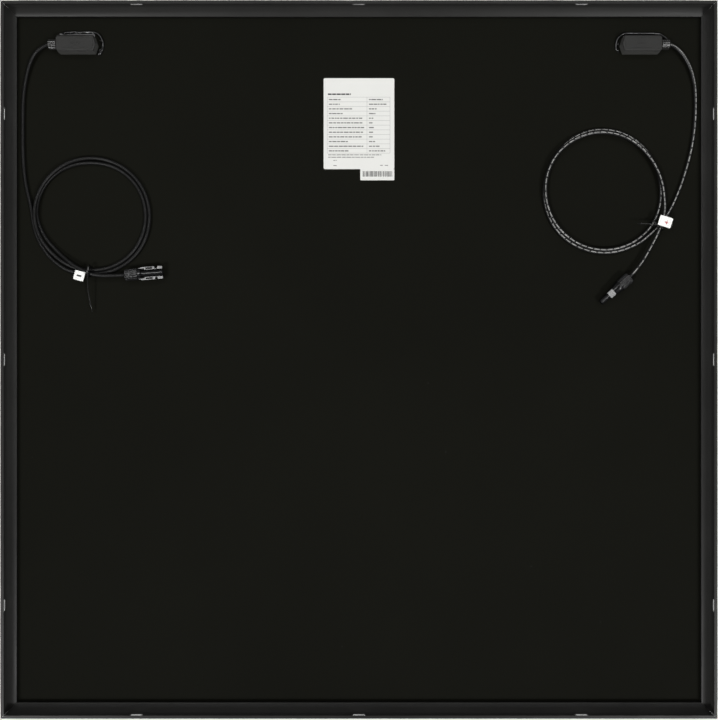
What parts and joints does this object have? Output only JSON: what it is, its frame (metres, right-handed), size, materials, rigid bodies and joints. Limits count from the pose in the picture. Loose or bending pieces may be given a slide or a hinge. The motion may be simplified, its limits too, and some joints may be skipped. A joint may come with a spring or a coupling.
{
  "type": "solar panel",
  "caption": "Square framed photovoltaic panel, lying glass down, with corner junction boxes and coiled leads ending in plug connectors on its black back.",
  "frame": {"origin": "middle of the front face, at the level of the front lips, bottom centre of the panel as it lies glass down", "axes": "+X towards the plus lead's side, +Y towards the junction boxes' edge, +Z out of the back"},
  "size_m": [1.072, 1.074, 0.035],
  "materials": {
    "black_anodised_frame": "black anodised, satin, fine extrusion lines",
    "corner_key_metal": "plain cast",
    "edge_sealant": "black silicone",
    "front_glass": "tempered, light prismatic texture",
    "clear_encapsulant": "clear, laminated",
    "solar_cells": "black-blue textured silicon with fine silver fingers",
    "tinned_copper": "bright tin",
    "black_backsheet": "black, faint grain",
    "black_silicone": "glossy, squeezed out",
    "box_plastic": "fine moulded grain",
    "lid_plastic": "fine moulded grain",
    "diode_plastic": "moulded",
    "seal_rubber": "matt",
    "cable_jacket": "matt, slightly crinkled jacket",
    "tie_nylon": "black nylon, slight sheen",
    "tag_film": "white film",
    "connector_plastic": "black, satin highlights",
    "clamp_plastic": "moulded",
    "label_film": "white film"
  },
  "bodies": {
    "panel": {"frame_rail_bottom": "black_anodised_frame", "frame_rail_right": "black_anodised_frame", "frame_rail_top": "black_anodised_frame", "frame_rail_left": "black_anodised_frame", "corner_key_bottom_left": "corner_key_metal", "corner_key_bottom_right": "corner_key_metal", "corner_key_top_right": "corner_key_metal", "corner_key_top_left": "corner_key_metal", "frame_sealant": "edge_sealant", "cover_glass": "front_glass", "front_encapsulant": "clear_encapsulant", "cell_string_1": "solar_cells", "cell_string_2": "solar_cells", "cell_string_3": "solar_cells", "cell_string_4": "solar_cells", "cell_string_5": "solar_cells", "cell_string_6": "solar_cells", "bus_ribbons": "tinned_copper", "minus_lead_ribbon": "tinned_copper", "plus_lead_ribbon": "tinned_copper", "back_encapsulant": "clear_encapsulant", "backsheet": "black_backsheet", "minus_box_adhesive": "black_silicone", "minus_box_base": "box_plastic", "minus_box_terminals": "tinned_copper", "minus_bypass_diode": "diode_plastic", "minus_box_gasket": "seal_rubber", "minus_cable_gland": "box_plastic", "minus_cable_end": "cable_jacket", "minus_cable_feed": "cable_jacket", "minus_cable_coil": "cable_jacket", "minus_cable_tail": "cable_jacket", "minus_cable_tie": "tie_nylon", "minus_polarity_tag": "tag_film", "minus_cable_clamp": "clamp_plastic", "minus_cable_seal": "seal_rubber", "minus_contact": "tinned_copper", "minus_connector_housing": "connector_plastic", "plus_box_adhesive": "black_silicone", "plus_box_base": "box_plastic", "plus_box_terminals": "tinned_copper", "plus_bypass_diode": "diode_plastic", "plus_box_gasket": "seal_rubber", "plus_cable_gland": "box_plastic", "plus_cable_end": "cable_jacket", "plus_cable_feed": "cable_jacket", "plus_cable_coil": "cable_jacket", "plus_cable_tail": "cable_jacket", "plus_cable_tie": "tie_nylon", "plus_polarity_tag": "tag_film", "plus_cable_clamp": "clamp_plastic", "plus_cable_seal": "seal_rubber", "plus_contact": "tinned_copper", "plus_connector_housing": "connector_plastic", "rating_label": "label_film", "code_label": "label_film"},
    "minus_lid": {"minus_box_lid": "lid_plastic"},
    "plus_lid": {"plus_box_lid": "lid_plastic"},
    "minus_nut": {"minus_cap_nut": "connector_plastic"},
    "plus_nut": {"plus_cap_nut": "connector_plastic"}
  },
  "joints": [
    {"name": "minus_lid_lift", "type": "slide", "parent": "panel", "child": "minus_lid", "axis": [0, 0, 1], "range_m": [0, 0.02]},
    {"name": "plus_lid_lift", "type": "slide", "parent": "panel", "child": "plus_lid", "axis": [0, 0, 1], "range_m": [0, 0.02]},
    {"name": "minus_nut_turn", "type": "hinge", "parent": "panel", "child": "minus_nut", "pos_m": [-0.355, 0.12819, 0.01645], "axis": [0.9973, 0.074, 0], "range_deg": [0, 1080]},
    {"name": "plus_nut_turn", "type": "hinge", "parent": "panel", "child": "plus_nut", "pos_m": [0.41069, 0.12499, 0.01645], "axis": [-0.7495, -0.662, 0], "range_deg": [0, 1080]}
  ]
}
